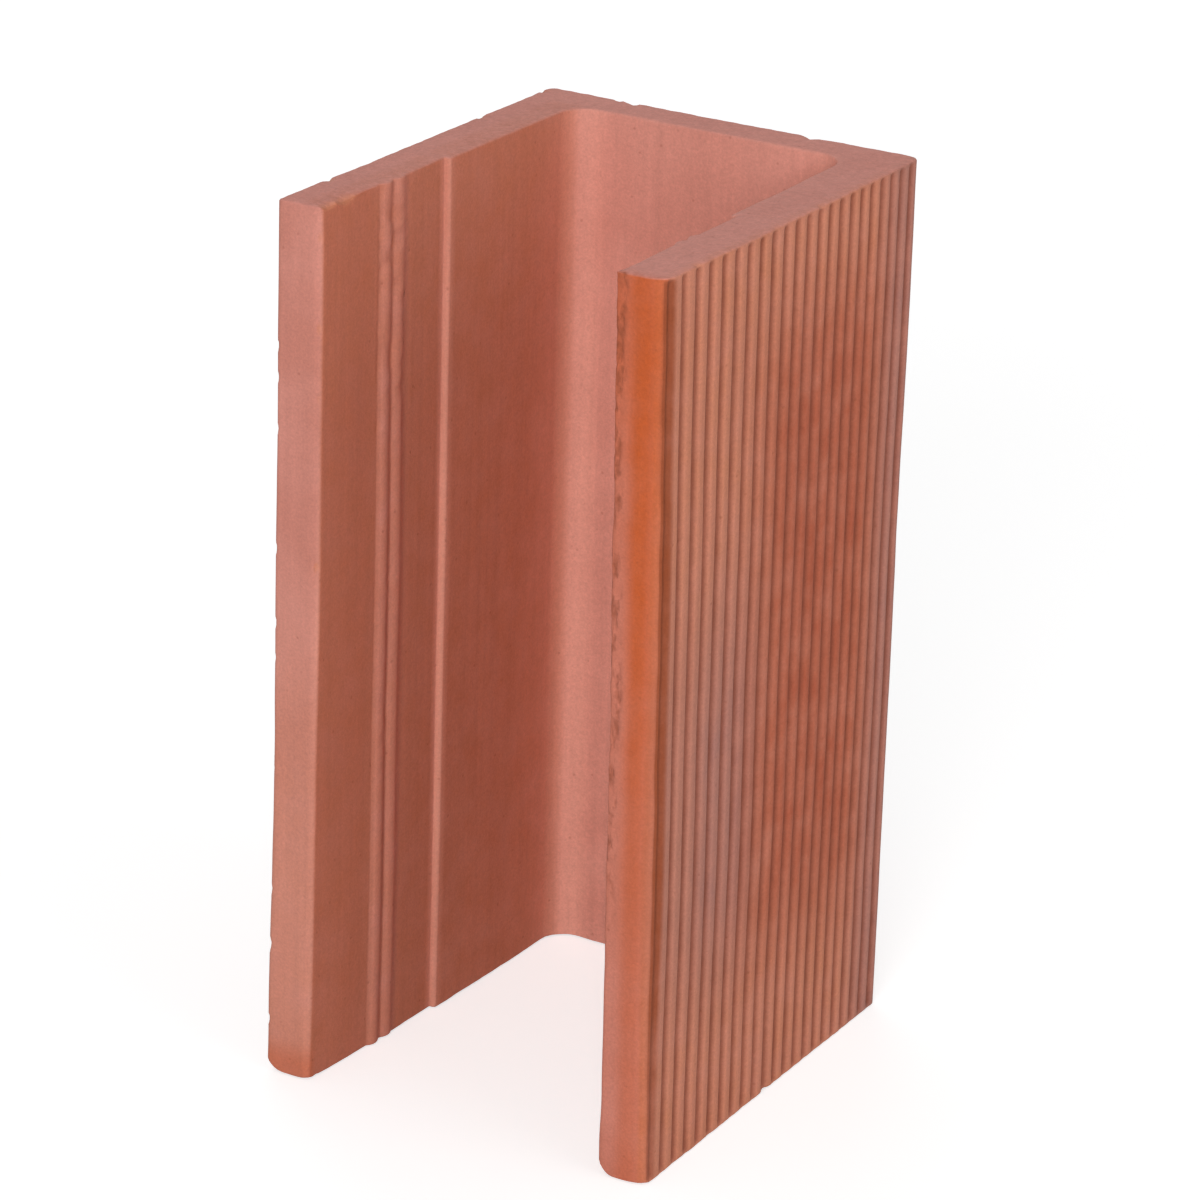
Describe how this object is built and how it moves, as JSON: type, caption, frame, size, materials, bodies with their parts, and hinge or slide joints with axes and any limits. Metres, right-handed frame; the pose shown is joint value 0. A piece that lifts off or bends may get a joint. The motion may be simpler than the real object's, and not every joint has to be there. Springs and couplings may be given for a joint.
{
  "type": "clay channel block",
  "caption": "Fired clay channel block with a U-shaped section and grooved outer faces, open along the front and at both ends, laid as a shell for reinforced concrete.",
  "frame": {"origin": "middle of the box's underside, in the plane of the cut end that the block stands on", "axes": "+Z along the extrusion, +X across the channel from leg to leg, -Y out of the open side"},
  "size_m": [0.115, 0.13, 0.25],
  "materials": {
    "fired_clay": "unglazed fired red clay, matte, extruded faces with wire-cut ends"
  },
  "bodies": {
    "root": {"channel_block": "fired_clay"}
  },
  "joints": []
}
